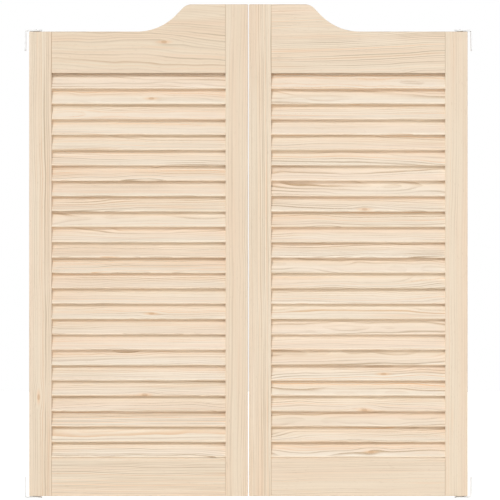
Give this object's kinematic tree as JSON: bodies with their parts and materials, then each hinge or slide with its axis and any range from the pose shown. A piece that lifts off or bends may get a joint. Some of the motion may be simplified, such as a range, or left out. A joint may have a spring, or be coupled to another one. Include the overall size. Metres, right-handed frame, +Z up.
{
  "type": "cafe swinging doors",
  "caption": "Pair of louvred pine half-height swinging doors with swept tops, on spring pivots in jamb brackets.",
  "frame": {"origin": "under the middle of the meeting gap, in the doors' middle plane, at the level of the lower brackets' undersides", "axes": "+X to the right across the opening seen from the front, +Y through the doors from front to back, +Z up"},
  "size_m": [0.971, 0.0286, 1.0715],
  "materials": {
    "stile_pine": "bare sanded pine, unfinished",
    "rail_pine": "bare sanded pine, unfinished",
    "louvre_pine": "bare sanded pine, unfinished",
    "dowel_beech": "plain hardwood dowel",
    "white_painted_steel": "white powder coat",
    "zinc_steel": "bright zinc plate",
    "bright_steel": "ground steel",
    "spring_steel": "drawn spring wire",
    "nylon": "natural nylon"
  },
  "bodies": {
    "jamb_brackets": {"left_lower_bracket": "white_painted_steel", "left_lower_spindle": "bright_steel", "left_thrust_washer": "nylon", "left_upper_bracket": "white_painted_steel", "left_upper_bush": "nylon", "right_lower_bracket": "white_painted_steel", "right_lower_spindle": "bright_steel", "right_thrust_washer": "nylon", "right_upper_bracket": "white_painted_steel", "right_upper_bush": "nylon"},
    "left_door": {"left_outer_stile": "stile_pine", "left_inner_stile": "stile_pine", "left_top_rail": "rail_pine", "left_bottom_rail": "rail_pine", "left_louvres_top": "louvre_pine", "left_louvres_upper": "louvre_pine", "left_louvres_middle": "louvre_pine", "left_louvres_lower": "louvre_pine", "left_louvres_bottom": "louvre_pine", "left_rail_dowels": "dowel_beech", "left_lower_spring_housing": "zinc_steel", "left_lower_bush": "nylon", "left_guide_bush": "nylon", "left_return_spring": "spring_steel", "left_lower_plate_screws": "zinc_steel", "left_upper_pin_housing": "zinc_steel", "left_pin_spring": "spring_steel", "left_upper_plate_screws": "zinc_steel"},
    "left_top_pin_body": {"left_top_pin": "bright_steel"},
    "right_door": {"right_outer_stile": "stile_pine", "right_inner_stile": "stile_pine", "right_top_rail": "rail_pine", "right_bottom_rail": "rail_pine", "right_louvres_top": "louvre_pine", "right_louvres_upper": "louvre_pine", "right_louvres_middle": "louvre_pine", "right_louvres_lower": "louvre_pine", "right_louvres_bottom": "louvre_pine", "right_rail_dowels": "dowel_beech", "right_lower_spring_housing": "zinc_steel", "right_lower_bush": "nylon", "right_guide_bush": "nylon", "right_return_spring": "spring_steel", "right_lower_plate_screws": "zinc_steel", "right_upper_pin_housing": "zinc_steel", "right_pin_spring": "spring_steel", "right_upper_plate_screws": "zinc_steel"},
    "right_top_pin_body": {"right_top_pin": "bright_steel"}
  },
  "joints": [
    {"name": "left_swing", "type": "hinge", "parent": "jamb_brackets", "child": "left_door", "pos_m": [-0.4595, 0, 0], "axis": [0, 0, 1], "range_deg": [-90, 90], "stiffness_Nm_per_rad": 0.39, "deforming": ["left_return_spring"]},
    {"name": "left_top_pin_slide", "type": "slide", "parent": "left_door", "child": "left_top_pin_body", "axis": [0, 0, 1], "range_m": [-0.0065, 0], "stiffness_N_per_m": 2036, "springref_m": 0.006, "deforming": ["left_pin_spring"]},
    {"name": "right_swing", "type": "hinge", "parent": "jamb_brackets", "child": "right_door", "pos_m": [0.4595, 0, 0], "axis": [0, 0, -1], "range_deg": [-90, 90], "stiffness_Nm_per_rad": 0.39, "deforming": ["right_return_spring"]},
    {"name": "right_top_pin_slide", "type": "slide", "parent": "right_door", "child": "right_top_pin_body", "axis": [0, 0, 1], "range_m": [-0.0065, 0], "stiffness_N_per_m": 2036, "springref_m": 0.006, "deforming": ["right_pin_spring"]}
  ]
}
